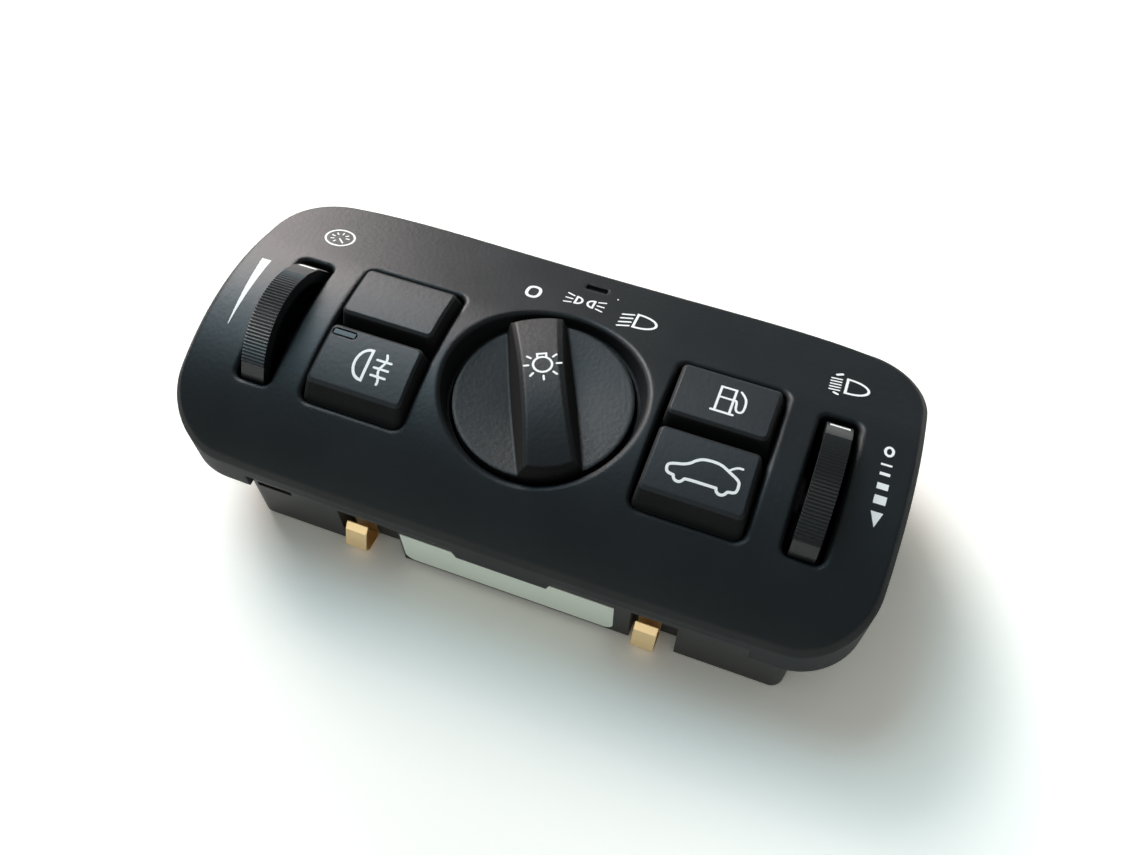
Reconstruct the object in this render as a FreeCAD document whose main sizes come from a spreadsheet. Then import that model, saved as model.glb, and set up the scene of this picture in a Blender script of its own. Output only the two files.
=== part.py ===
import FreeCAD, Part
import math
import os
import re
import Sketcher
from FreeCAD import Vector

# Headlight switch of a car dashboard, in millimetres.
# X runs to the right along the panel, Y up the panel and Z out of its face.
# The origin is the middle of the flat rear of the housing.

doc = FreeCAD.newDocument("headlight_switch")
sheet = doc.addObject("Spreadsheet::Sheet", "Sizes")

# Driving dimensions, one cell each
SIZES = {
    # front moulding, with depths taken back from the middle of its face
    "panel_width": 163.2,
    "panel_height": 77.0,
    "panel_corner": 16.0,
    "end_bow": 0.9,
    "long_bow": 0.7,
    "face_height": 40.0,
    "crown_radius": 63.0,
    "straight_from": 17.3,
    "wall_reach": 5.0,
    "panel_wall": 2.4,
    "skirt_wall": 2.0,
    "panel_round": 1.3,
    "end_skirt": 22.0,
    "long_skirt": 17.6,
    "long_skirt_inset": 22.1,
    "tongue_x": 3.3,
    "tongue_width": 24.4,
    "tongue_slant": 1.5,
    "tongue_depth": 21.7,
    "lip_round": 0.7,
    "collar_wall": 1.5,
    "collar_depth": 11.0,
    "fit_gap": 0.3,
    # knob and its switch
    "knob_y": -2.6,
    "knob_radius": 20.4,
    "rim_drop": 4.8,
    "rim_round": 0.35,
    "knob_gap": 0.8,
    "knob_depth": 9.0,
    "knob_wall": 2.2,
    "dish_drop": 1.6,
    "grip_top": 2.2,
    "grip_width": 9.3,
    "grip_base": 15.6,
    "grip_arch": 62.0,
    "grip_round": 0.9,
    "knob_turn": 25.5,
    "recess_mouth": 23.2,
    "recess_foot": 21.7,
    "recess_depth": 6.5,
    "shaft_radius": 5.0,
    "shaft_gap": 0.08,
    "hub_radius": 7.5,
    "cam_radius": 11.0,
    "cam_thick": 1.8,
    "detent_gap": 1.5,
    "spring_side": 16.0,
    "rotary_radius": 13.5,
    "rotary_foot": 1.5,
    # push buttons
    "opening_inner_land": 2.9,
    "opening_outer_land": 7.6,
    "opening_low_land": 16.6,
    "opening_high_land": 22.4,
    "opening_corner": 2.5,
    "cap_gap": 0.45,
    "cap_split_y": -2.3,
    "cap_split": 0.6,
    "cap_shoulder": 5.0,
    "cap_proud": 2.6,
    "cap_inset_side": 1.15,
    "cap_inset_mid": 1.6,
    "cap_inset_low": 4.7,
    "cap_inset_high": 2.7,
    "cap_corner": 1.4,
    "cap_round": 0.6,
    "cap_depth": 15.5,
    "cap_wall": 1.4,
    "cap_ceiling": 3.0,
    "hook_reach": 0.7,
    "hook_height": 2.2,
    "hook_width": 6.0,
    "press_travel": 1.5,
    "post_side": 4.4,
    "stem_radius": 1.7,
    "stem_length": 3.6,
    "switch_side": 6.2,
    "switch_height": 4.3,
    # thumbwheels
    "wheel_inset": 18.15,
    "wheel_y": -4.2,
    "wheel_depth": 11.3,
    "wheel_radius": 18.3,
    "wheel_width": 5.7,
    "rim_thick": 3.0,
    "web_thick": 2.2,
    "rib_angle": 2.4,
    "rib_depth": 0.3,
    "ribs_from": -52.0,
    "ribs_to": 146.0,
    "smooth_from": 42.0,
    "smooth_to": 63.0,
    "axle_radius": 2.5,
    "slot_width": 8.9,
    "slot_height": 34.5,
    "slot_corner": 2.0,
    "slot_relief": 1.1,
    "pot_width": 5.4,
    "pot_radius": 5.5,
    # rear housing
    "housing_inset_left": 19.0,
    "housing_inset_right": 12.8,
    "housing_inset_low": 2.6,
    "housing_inset_high": 5.5,
    "housing_lap": 1.5,
    "housing_wall": 1.6,
    "housing_floor": 2.2,
    "housing_corner": 3.0,
    "rear_chamfer": 0.6,
    "pod_inset": 11.1,
    "pod_gap": 2.5,
    "pod_lap": 8.0,
    "wall_slot_inset": 3.0,
    "wall_slot_length": 8.8,
    "wall_slot_low": 14.3,
    "wall_slot_height": 1.7,
    # clips and their pockets
    "clip_left": 35.1,
    "clip_right": 36.7,
    "clip_width": 5.4,
    "clip_sheet": 0.4,
    "clip_root": 12.5,
    "clip_bend": 0.9,
    "clip_reach": 2.3,
    "clip_apex": 3.0,
    "clip_slope": 4.7,
    "clip_tip": 1.4,
    "pocket_lead": 3.8,
    "pocket_left_width": 15.3,
    "pocket_right_width": 10.8,
    "pocket_front": 15.0,
    "pocket_depth": 4.0,
    # board and fasteners
    "board_rear": 12.0,
    "board_thick": 1.6,
    "board_gap": 1.0,
    "screw_inset": 35.1,
    "screw_inset_high": 15.0,
    "screw_inset_low": 12.5,
    "boss_side": 5.6,
    "seat_side": 8.0,
    "screw_radius": 1.3,
    "screw_bite": 10.4,
    "screw_sink": 0.6,
    "drive_width": 0.8,
    "head_radius": 2.6,
    "head_height": 1.7,
    # connector
    "plug_x": 6.0,
    "plug_inset": 18.5,
    "plug_width": 34.0,
    "plug_height": 13.0,
    "plug_wall": 1.5,
    "plug_rear": 0.5,
    "pin_pitch": 3.6,
    "pin_side": 0.7,
    "pin_tip": 5.4,
    # windows, lamps and label
    "window_x": 0.3,
    "window_inset": 6.3,
    "window_length": 5.4,
    "window_height": 1.7,
    "indicator_side": 1.7,
    "indicator_drop": 1.8,
    "indicator_length": 6.0,
    "indicator_height": 1.9,
    "indicator_groove": 0.35,
    "indicator_flange": 0.6,
    "indicator_corner": 0.9,
    "guide_length": 42.0,
    "guide_inset": 9.5,
    "guide_thick": 1.8,
    "guide_leg": 3.0,
    "lamp_height": 1.2,
    "label_x": 3.0,
    "label_length": 52.0,
    "label_height": 12.6,
    "label_low": 1.7,
    "label_thick": 0.2,
    "label_corner": 2.5,
}
for row, (alias, value) in enumerate(SIZES.items(), start=1):
    sheet.set("A%d" % row, alias)
    sheet.set("B%d" % row, str(value))
    sheet.setAlias("B%d" % row, alias)
doc.recompute()


def size(alias):
    return float(sheet.get(alias))


def linked(text):
    """The same expression with each size named in the sheet."""
    return re.sub(r"\b([a-z]+(?:_[a-z]+)+)\b", r"Sizes.\1", str(text))


def total(text):
    """The number that a sum of sizes comes to now."""
    signed = re.findall(r"([+-]?) *([a-z_]+|[0-9.]+)", text)
    numbers = [size(word) if word[0].isalpha() else float(word) for sign, word in signed]
    return sum(-number if sign == "-" else number for (sign, word), number in zip(signed, numbers))


def bind(thing, **properties):
    for name, text in properties.items():
        thing.setExpression(name, linked(text))
    return thing


def place(thing, x=0, y=0, z=0):
    for axis, text in zip("xyz", (x, y, z)):
        thing.setExpression("Placement.Base." + axis, linked(text))
    return thing


def box(name, x, y, z):
    """A box from three pairs of low and high limits."""
    thing = doc.addObject("Part::Box", name)
    spans = ["(%s) - (%s)" % (high, low) for low, high in (x, y, z)]
    bind(thing, Length=spans[0], Width=spans[1], Height=spans[2])
    return place(thing, x[0], y[0], z[0])


def square(name, side, low, high, x, y):
    """An upright post of square section, centred on x, y."""
    return box(name, ("%s - (%s) / 2" % (x, side), "%s + (%s) / 2" % (x, side)),
               ("%s - (%s) / 2" % (y, side), "%s + (%s) / 2" % (y, side)), (low, high))


def cylinder(name, radius, low, high, x=0, y=0):
    thing = doc.addObject("Part::Cylinder", name)
    bind(thing, Radius=radius, Height="(%s) - (%s)" % (high, low))
    return place(thing, x, y, low)


def cross_cylinder(name, radius, low, high, y, z):
    """A cylinder that lies along X from low to high."""
    thing = doc.addObject("Part::Cylinder", name)
    thing.Placement.Rotation = FreeCAD.Rotation(Vector(0, 1, 0), 90)
    bind(thing, Radius=radius, Height="(%s) - (%s)" % (high, low))
    return place(thing, low, y, z)


def cone(name, low_radius, high_radius, low, high, x=0, y=0):
    thing = doc.addObject("Part::Cone", name)
    bind(thing, Radius1=low_radius, Radius2=high_radius, Height="(%s) - (%s)" % (high, low))
    return place(thing, x, y, low)


def fused(name, *parts):
    thing = doc.addObject("Part::MultiFuse", name)
    thing.Shapes = list(parts)
    return thing


def cut(name, base, *tools):
    thing = doc.addObject("Part::Cut", name)
    thing.Base = base
    thing.Tool = tools[0] if len(tools) == 1 else fused(name + "_tools", *tools)
    return thing


def common(name, first, second):
    thing = doc.addObject("Part::Common", name)
    thing.Base = first
    thing.Tool = second
    return thing


def rounded(name, base, radius, choose, kind="Fillet"):
    """Round, or chamfer, the edges of base that choose accepts."""
    doc.recompute()
    picked = [(n, radius, radius) for n, edge in enumerate(base.Shape.Edges, start=1) if choose(edge)]
    if not picked:
        raise RuntimeError("no edge to round in " + name)
    thing = doc.addObject("Part::" + kind, name)
    thing.Base = base
    thing.Edges = picked
    return thing


def upright(edge):
    ends = [vertex.Point for vertex in edge.Vertexes]
    return len(ends) == 2 and math.hypot(ends[0].x - ends[1].x, ends[0].y - ends[1].y) < 1e-6


def rounded_box(name, x, y, z, corner):
    return rounded(name, box(name + "_block", x, y, z), size(corner), upright)


def feature(name, shape):
    """A sub-part whose form is worked out here from the sheet."""
    thing = doc.addObject("Part::Feature", name)
    thing.Shape = shape
    return thing


def sketch_in(body, role, name):
    plane = next(item for item in body.Origin.OriginFeatures if item.Role == role)
    sketch = body.newObject("Sketcher::SketchObject", name)
    sketch.AttachmentSupport = (plane, [""])
    sketch.MapMode = "FlatFace"
    return sketch


def datum(sketch, kind, where, text, guess):
    """A named dimension of a sketch, driven by the sheet."""
    number = sketch.addConstraint(Sketcher.Constraint(kind, *where, guess))
    sketch.setExpression("Constraints[%d]" % number, linked(text))


# Outline of the front moulding: four slightly bowed sides joined by round corners
def plan_body(name, inset, low, high):
    inset_now = total(inset)
    end_bow, long_bow = size("end_bow"), size("long_bow")
    end_x = size("panel_width") / 2 - inset_now
    end_y = size("panel_height") / 2 - inset_now
    corner = size("panel_corner") - inset_now
    end_radius = ((end_y - long_bow) ** 2 + end_bow ** 2) / (2 * end_bow)
    long_radius = ((end_x - end_bow) ** 2 + long_bow ** 2) / (2 * long_bow)
    centre_x, centre_y = end_x - end_radius, end_y - long_radius
    # the corner arc touches both sides, so its centre lies a corner radius inside each of them
    reach_x, reach_y = end_radius - corner, long_radius - corner
    apart = math.hypot(centre_x, centre_y)
    along = (reach_x ** 2 - reach_y ** 2 + apart ** 2) / (2 * apart)
    across = math.sqrt(reach_x ** 2 - along ** 2)
    unit_x, unit_y = -centre_x / apart, centre_y / apart
    round_x = centre_x + along * unit_x - across * unit_y
    round_y = along * unit_y + across * unit_x
    if round_x < 0 or round_y < 0:
        round_x = centre_x + along * unit_x + across * unit_y
        round_y = along * unit_y - across * unit_x
    turn_end = math.atan2(round_y, round_x - centre_x)
    turn_long = math.atan2(round_y - centre_y, round_x)

    body = doc.addObject("PartDesign::Body", name)
    sketch = sketch_in(body, "XY_Plane", name + "_sketch")
    sketch.setExpression("AttachmentOffset.Base.z", linked(low))
    quarter = math.pi / 2
    arcs = []
    for n in range(4):
        mirror_x = 1 if n in (0, 3) else -1
        mirror_y = 1 if n in (0, 1) else -1
        centre = Vector(mirror_x * round_x, mirror_y * round_y, 0)
        start, finish = sorted((turn_end, turn_long))
        if mirror_x * mirror_y < 0:
            start, finish = quarter - finish, quarter - start
        arcs.append((centre, corner, start + n * quarter, finish + n * quarter))
        side_centre = [Vector(0, centre_y, 0), Vector(-centre_x, 0, 0),
                       Vector(0, -centre_y, 0), Vector(centre_x, 0, 0)][n]
        half = (quarter - turn_long) if n % 2 == 0 else turn_end
        middle = (n + 1) * quarter
        arcs.append((side_centre, long_radius if n % 2 == 0 else end_radius, middle - half, middle + half))
    for centre, radius, start, finish in arcs:
        circle = Part.Circle(centre, Vector(0, 0, 1), radius)
        sketch.addGeometry(Part.ArcOfCircle(circle, start, finish), False)
    for n in range(8):
        sketch.addConstraint(Sketcher.Constraint("Tangent", n, 2, (n + 1) % 8, 1))
    half_x = "(panel_width / 2 - (%s))" % inset
    half_y = "(panel_height / 2 - (%s))" % inset
    long_text = "((%s - end_bow)^2 + long_bow^2) / (2 * long_bow)" % half_x
    end_text = "((%s - long_bow)^2 + end_bow^2) / (2 * end_bow)" % half_y
    for n in range(4):
        datum(sketch, "Radius", (2 * n,), "panel_corner - (%s)" % inset, corner)
    for n, sign in ((1, 1), (5, -1)):
        datum(sketch, "Radius", (n,), long_text, long_radius)
        sketch.addConstraint(Sketcher.Constraint("PointOnObject", n, 3, -2))
        datum(sketch, "DistanceY", (-1, 1, n, 3), "%d * (%s - %s)" % (sign, half_y, long_text),
              sign * centre_y)
    for n, sign in ((3, -1), (7, 1)):
        datum(sketch, "Radius", (n,), end_text, end_radius)
        sketch.addConstraint(Sketcher.Constraint("PointOnObject", n, 3, -1))
        datum(sketch, "DistanceX", (-1, 1, n, 3), "%d * (%s - %s)" % (sign, half_x, end_text),
              sign * centre_x)
    pad = body.newObject("PartDesign::Pad", name + "_pad")
    pad.Profile = sketch
    bind(pad, Length="(%s) - (%s)" % (high, low))
    return body


# Everything under the crowned face: an arc that runs on straight towards the top
def crown_body(name, below):
    radius = size("crown_radius")
    reach = size("panel_height") / 2 + size("wall_reach")
    centre_z = size("face_height") - radius
    below_now = total(below)
    own = radius - below_now
    turn_y = size("straight_from") * own / radius
    turn_z = centre_z + math.sqrt(own ** 2 - turn_y ** 2)
    slope = turn_y / (turn_z - centre_z)
    far_z = turn_z - slope * (reach - turn_y)
    low_z = centre_z + math.sqrt(own ** 2 - reach ** 2)
    mid_z = centre_z + own
    body = doc.addObject("PartDesign::Body", name)
    sketch = sketch_in(body, "YZ_Plane", name + "_sketch")
    arc = Part.Arc(Vector(turn_y, turn_z, 0), Vector(0, mid_z, 0), Vector(-reach, low_z, 0))
    sketch.addGeometry(arc, False)
    points = [(turn_y, turn_z), (reach, far_z), (reach, 0), (-reach, 0), (-reach, low_z)]
    for first, second in zip(points, points[1:]):
        sketch.addGeometry(Part.LineSegment(Vector(*first, 0), Vector(*second, 0)), False)
    pin = sketch.addConstraint
    pin(Sketcher.Constraint("Tangent", 1, 1, 0, 1))
    pin(Sketcher.Constraint("Coincident", 1, 2, 2, 1))
    pin(Sketcher.Constraint("Coincident", 2, 2, 3, 1))
    pin(Sketcher.Constraint("Coincident", 3, 2, 4, 1))
    pin(Sketcher.Constraint("Coincident", 4, 2, 0, 2))
    pin(Sketcher.Constraint("Vertical", 2))
    pin(Sketcher.Constraint("Vertical", 4))
    pin(Sketcher.Constraint("PointOnObject", 3, 1, -1))
    pin(Sketcher.Constraint("PointOnObject", 3, 2, -1))
    pin(Sketcher.Constraint("PointOnObject", 0, 3, -2))
    datum(sketch, "DistanceY", (-1, 1, 0, 3), "face_height - crown_radius", centre_z)
    datum(sketch, "Radius", (0,), "crown_radius - (%s)" % below, own)
    datum(sketch, "DistanceX", (-1, 1, 0, 1),
          "straight_from * (crown_radius - (%s)) / crown_radius" % below, turn_y)
    datum(sketch, "DistanceX", (-1, 1, 3, 1), "panel_height / 2 + wall_reach", reach)
    datum(sketch, "DistanceX", (-1, 1, 3, 2), "-(panel_height / 2 + wall_reach)", -reach)
    pad = body.newObject("PartDesign::Pad", name + "_pad")
    pad.Profile = sketch
    pad.Midplane = True
    bind(pad, Length="panel_width + 10")
    return body


def near_face(edge):
    """True for an edge that runs along the crowned face."""
    middle = edge.valueAt((edge.FirstParameter + edge.LastParameter) / 2)
    return abs(middle.z - face_level(middle.y)) < 0.02


def face_level(y):
    radius, turn = size("crown_radius"), size("straight_from")
    centre = size("face_height") - radius
    if y <= turn:
        return centre + math.sqrt(radius ** 2 - y ** 2)
    slope = turn / math.sqrt(radius ** 2 - turn ** 2)
    return centre + math.sqrt(radius ** 2 - turn ** 2) - slope * (y - turn)


# Limits that several pieces share
RIM_Z = "face_height - rim_drop"
KNOB_REAR = "face_height - rim_drop - knob_depth"
BOARD_TOP = "(board_rear + board_thick)"
CAP_TOP = "face_height + cap_proud"
SIDES = {"left": "-", "right": ""}
WHEEL_X = "(panel_width / 2 - wheel_inset)"
WHEEL_Z = "(face_height - wheel_depth)"
OPEN_INNER_X = "(recess_mouth + opening_inner_land)"
OPEN_OUTER_X = "(%s - slot_width / 2 - opening_outer_land)" % WHEEL_X
CAP_X = "((%s + %s) / 2)" % (OPEN_INNER_X, OPEN_OUTER_X)
OPEN_WIDTH = "(%s - %s)" % (OPEN_OUTER_X, OPEN_INNER_X)
OPEN_LOW_Y = "opening_low_land - panel_height / 2"
OPEN_HIGH_Y = "panel_height / 2 - opening_high_land"
COLLAR_REAR = "(face_height - collar_depth)"
CAP_REAR = "(face_height - cap_depth)"
END_SKIRT_REAR = "(face_height - end_skirt)"
LONG_SKIRT_REAR = "(face_height - long_skirt)"
HOUSING_FRONT = "(face_height - long_skirt + housing_lap)"
HOUSING_LEFT = "(housing_inset_left - panel_width / 2)"
HOUSING_RIGHT = "(panel_width / 2 - housing_inset_right)"
HOUSING_LOW = "(housing_inset_low - panel_height / 2)"
HOUSING_HIGH = "(panel_height / 2 - housing_inset_high)"
WINDOW_Y = "(panel_height / 2 - window_inset)"
PLUG_Y = "(panel_height / 2 - plug_inset)"
SCREW_END = "(board_rear + board_thick + screw_bite)"
SCREWS = [(side + "(panel_width / 2 - screw_inset)", y) for side in ("-", "")
          for y in ("(panel_height / 2 - screw_inset_high)", "(screw_inset_low - panel_height / 2)")]


def side_span(side, centre, width):
    """Low and high X of a width centred on the left or right copy of centre."""
    sign = SIDES[side]
    return ("%s(%s) - (%s) / 2" % (sign, centre, width), "%s(%s) + (%s) / 2" % (sign, centre, width))


# Bezel: crowned shell with collars round its openings and screw bosses behind it
crown = crown_body("crown_form", "0")
crown_inside = crown_body("crown_inside", "panel_wall")
outer = common("bezel_block", plan_body("bezel_plan", "0", END_SKIRT_REAR, "face_height + 1"), crown)
outer_round = rounded("bezel_edge", outer, size("panel_round"), near_face, "Chamfer")
hollow = common("bezel_hollow",
                plan_body("bezel_inside", "skirt_wall", END_SKIRT_REAR + " - 1", "face_height"),
                crown_inside)
tongues = doc.addObject("Part::Wedge", "tongues")
tongues.Placement.Rotation = FreeCAD.Rotation(Vector(1, 0, 0), 90)
bind(tongues, Xmin="tongue_x - tongue_width / 2 + tongue_slant",
     Xmax="tongue_x + tongue_width / 2 - tongue_slant",
     X2min="tongue_x - tongue_width / 2", X2max="tongue_x + tongue_width / 2",
     Ymin="face_height - tongue_depth", Ymax=LONG_SKIRT_REAR,
     Zmin="-panel_height", Zmax="panel_height", Z2min="-panel_height", Z2max="panel_height")
skirt_cut = cut("skirt_cut",
                box("long_skirt_room",
                    ("long_skirt_inset - panel_width / 2", "panel_width / 2 - long_skirt_inset"),
                    ("-panel_height", "panel_height"), (END_SKIRT_REAR + " - 2", LONG_SKIRT_REAR)),
                tongues)
shell = cut("bezel_shell", outer_round, hollow, skirt_cut)

relief_crown = crown_body("crown_relief", "slot_relief")
collars = [cylinder("knob_collar", "recess_foot + collar_wall", COLLAR_REAR, "face_height + 1",
                    y="knob_y")]
openings = [cylinder("knob_hole", "knob_radius + knob_gap", "0", "face_height + 1", y="knob_y"),
            cone("knob_recess", "recess_foot", "recess_mouth + (recess_mouth - recess_foot) * 2",
                 "face_height - recess_depth", "face_height + recess_depth * 2", y="knob_y")]
for side in SIDES:
    x = side_span(side, CAP_X, OPEN_WIDTH + " + 2 * collar_wall")
    y = (OPEN_LOW_Y + " - collar_wall", OPEN_HIGH_Y + " + collar_wall")
    collars.append(box(side + "_cap_collar", x, y, (COLLAR_REAR, "face_height + 1")))
    x = side_span(side, CAP_X, OPEN_WIDTH)
    openings.append(rounded_box(side + "_cap_opening", x, (OPEN_LOW_Y, OPEN_HIGH_Y),
                                ("0", "face_height + 5"), "opening_corner"))
    x = side_span(side, WHEEL_X, "slot_width + 2 * collar_wall")
    y = ("wheel_y - slot_height / 2 - collar_wall", "wheel_y + slot_height / 2 + collar_wall")
    collars.append(box(side + "_slot_collar", x, y, (WHEEL_Z + " + pot_radius + fit_gap", "face_height + 1")))
    x = side_span(side, WHEEL_X, "slot_width")
    y = ("wheel_y - slot_height / 2", "wheel_y + slot_height / 2")
    openings.append(rounded_box(side + "_slot", x, y, ("0", "face_height + 5"), "slot_corner"))
    x = side_span(side, WHEEL_X, "wheel_width + 3 * fit_gap")
    openings.append(common(side + "_wheel_room",
                           cross_cylinder(side + "_wheel_sweep", "wheel_radius + fit_gap", x[0], x[1],
                                          "wheel_y", WHEEL_Z),
                           relief_crown))
openings.append(rounded_box("window_slot",
                            ("window_x - window_length / 2", "window_x + window_length / 2"),
                            (WINDOW_Y + " - window_height / 2", WINDOW_Y + " + window_height / 2"),
                            ("0", "face_height"), "rim_round"))
for n, (x, y) in enumerate(SCREWS):
    collars.append(square("screw_boss_%d" % n, "boss_side", BOARD_TOP, "face_height", x, y))
    openings.append(cylinder("screw_pilot_%d" % n, "screw_radius + 0.05", "0", SCREW_END + " + 1", x, y))
backing = common("bezel_backing", fused("bezel_collars", *collars),
                 crown_body("crown_middle", "lip_round"))
pierced = cut("bezel_pierced", fused("bezel_solid", shell, backing), *openings)


def opening_lip(edge):
    """Edges of the knob recess, cap openings and wheel slots on the face."""
    middle = edge.valueAt((edge.FirstParameter + edge.LastParameter) / 2)
    inside_x = abs(middle.x) < size("panel_width") / 2 - size("wheel_inset") + size("slot_width")
    inside_y = abs(middle.y - size("knob_y")) < size("recess_mouth") + size("opening_inner_land")
    return near_face(edge) and inside_x and inside_y


bezel = rounded("bezel", pierced, size("lip_round"), opening_lip, "Chamfer")

# Knob: a dished disc with a grip bar across it, hollow behind, modelled at rest on its own axis
disc = cut("knob_disc",
           cylinder("knob_drum", "knob_radius", KNOB_REAR, RIM_Z),
           cone("knob_dish", "hub_radius / 2", "knob_radius - 2 * rim_round", RIM_Z + " - dish_drop", RIM_Z))
bar = doc.addObject("Part::Wedge", "grip_bar")
bar.Placement.Rotation = FreeCAD.Rotation(Vector(1, 0, 0), 90)
bind(bar, Xmin="-grip_base / 2", Xmax="grip_base / 2", X2min="-grip_width / 2", X2max="grip_width / 2",
     Ymin=RIM_Z + " - dish_drop - 1", Ymax="face_height + grip_top + 0.5",
     Zmin="-knob_radius", Zmax="knob_radius", Z2min="-knob_radius", Z2max="knob_radius")
arch = cross_cylinder("grip_arch_form", "grip_arch", "-knob_radius", "knob_radius", "0",
                      "face_height + grip_top - grip_arch")
grip_cut = common("grip_cut",
                  common("grip_arched", bar, arch),
                  cylinder("grip_round_form", "knob_radius - 0.05", "0", "face_height + 5"))


def grip_crest(edge):
    low = size("face_height") - size("rim_drop") + 0.5
    return edge.BoundBox.ZMin > low


grip = rounded("grip", grip_cut, size("grip_round"), grip_crest, "Chamfer")
knob = cut("knob", fused("knob_solid", disc, grip),
           cut("knob_hollow",
               cylinder("knob_bore", "knob_radius - knob_wall", KNOB_REAR + " - 1",
                        RIM_Z + " - dish_drop - knob_wall"),
               cylinder("knob_hub", "hub_radius", KNOB_REAR + " - 1", "face_height")),
           cylinder("shaft_socket", "shaft_radius + shaft_gap", KNOB_REAR + " - 1",
                    RIM_Z + " - dish_drop - knob_wall"))
knob.setExpression("Placement.Rotation.Angle", linked("knob_turn"))
place(knob, y="knob_y")

# Shaft with its detent cam, carried in the rotary switch on the board
CAM_REAR = KNOB_REAR + " - fit_gap - cam_thick"
ROTARY_TOP = CAM_REAR + " - detent_gap"
cam = doc.addObject("Part::Prism", "shaft_cam")
cam.Polygon = 12
bind(cam, Circumradius="cam_radius", Height="cam_thick")
place(cam, y="knob_y", z=CAM_REAR)
knob_shaft = fused("knob_shaft",
                   cylinder("shaft_rod", "shaft_radius", BOARD_TOP + " + rotary_foot",
                            RIM_Z + " - dish_drop - knob_wall - shaft_gap", y="knob_y"),
                   cam)
rotary_body = doc.addObject("Part::Prism", "rotary_body")
rotary_body.Polygon = 8
bind(rotary_body, Circumradius="rotary_radius", Height="%s - %s" % (ROTARY_TOP, BOARD_TOP))
place(rotary_body, y="knob_y", z=BOARD_TOP)
rotary_switch = cut("rotary_switch",
                    fused("rotary_solid",
                          rotary_body,
                          box("rotary_base", ("-rotary_radius", "rotary_radius"),
                              ("knob_y - rotary_radius", "knob_y + rotary_radius"),
                              (BOARD_TOP, BOARD_TOP + " + rotary_foot"))),
                    cylinder("rotary_bore", "shaft_radius + shaft_gap", BOARD_TOP + " + rotary_foot - fit_gap",
                             "face_height", y="knob_y"))
detent_spring = cut("detent_spring",
                    box("spring_plate", ("-spring_side / 2", "spring_side / 2"),
                        ("knob_y - spring_side / 2", "knob_y + spring_side / 2"),
                        (ROTARY_TOP, ROTARY_TOP + " + clip_sheet")),
                    cylinder("spring_eye", "shaft_radius + 1", BOARD_TOP, "face_height", y="knob_y"))

# Button caps: hollow, drafted, crowned like the face and hooked behind the collar
proud_crown = crown_body("crown_proud", "-cap_proud")
CAP_SPANS = {
    "low": (OPEN_LOW_Y + " + cap_gap", "cap_split_y - cap_split / 2", "cap_inset_low", "cap_inset_mid"),
    "high": ("cap_split_y + cap_split / 2", OPEN_HIGH_Y + " - cap_gap", "cap_inset_mid",
             "cap_inset_high"),
}
CAPS = {"blank_cap": ("left", "high"), "fog_button": ("left", "low"),
        "fuel_button": ("right", "high"), "boot_button": ("right", "low")}


def sloping(edge):
    """Edges that run up a drafted block, from corner to corner."""
    return edge.BoundBox.ZLength > 3 and edge.Curve.TypeId == "Part::GeomLine"


def cap_crest(edge):
    return edge.BoundBox.ZMin > size("face_height") - size("cap_shoulder") + 1.5


def make_cap(name, side, row):
    low_y, high_y, inset_low, inset_high = CAP_SPANS[row]
    low_x, high_x = side_span(side, CAP_X, OPEN_WIDTH + " - 2 * cap_gap")
    shoulder = "face_height - cap_shoulder"
    skirt = rounded(name + "_skirt", box(name + "_skirt_block", (low_x, high_x), (low_y, high_y),
                                         (CAP_REAR, shoulder)), size("cap_corner"), upright, "Chamfer")
    head = doc.addObject("Part::Wedge", name + "_head")
    head.Placement.Rotation = FreeCAD.Rotation(Vector(1, 0, 0), 90)
    step = " + 0.1"
    back = " - 0.1"
    bind(head, Xmin=low_x + step, Xmax=high_x + back,
         X2min=low_x + " + cap_inset_side", X2max=high_x + " - cap_inset_side",
         Ymin=shoulder, Ymax=CAP_TOP + " + 0.5",
         Zmin="-(%s%s)" % (high_y, back), Zmax="-(%s%s)" % (low_y, step),
         Z2min="-(%s - %s)" % (high_y, inset_high), Z2max="-(%s + %s)" % (low_y, inset_low))
    head_corners = rounded(name + "_head_corners", head, size("cap_corner"), sloping)
    head_crest = rounded(name + "_crest", common(name + "_crowned", head_corners, proud_crown),
                         size("cap_round"), cap_crest, "Chamfer")
    middle_y = "((%s) + (%s)) / 2" % (low_y, high_y)
    middle_x = SIDES[side] + CAP_X
    hooks = box(name + "_hooks", (low_x + " - cap_gap - hook_reach", high_x + " + cap_gap + hook_reach"),
                (middle_y + " - hook_width / 2", middle_y + " + hook_width / 2"),
                (COLLAR_REAR + " - fit_gap - hook_height", COLLAR_REAR + " - fit_gap"))
    inside = box(name + "_inside", (low_x + " + cap_wall", high_x + " - cap_wall"),
                 (low_y + " + cap_wall", high_y + " - cap_wall"),
                 (CAP_REAR + " - 1", "face_height - cap_ceiling"))
    hollowed = cut(name + "_hollowed", fused(name + "_solid", skirt, head_crest, hooks), inside)
    if name == "blank_cap":
        return hollowed, middle_x, middle_y
    post = square(name + "_post", "post_side", BOARD_TOP + " + switch_height + stem_length - 1",
                  "face_height - cap_ceiling + 0.5", middle_x, middle_y)
    return fused(name + "_with_post", hollowed, post), middle_x, middle_y


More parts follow.
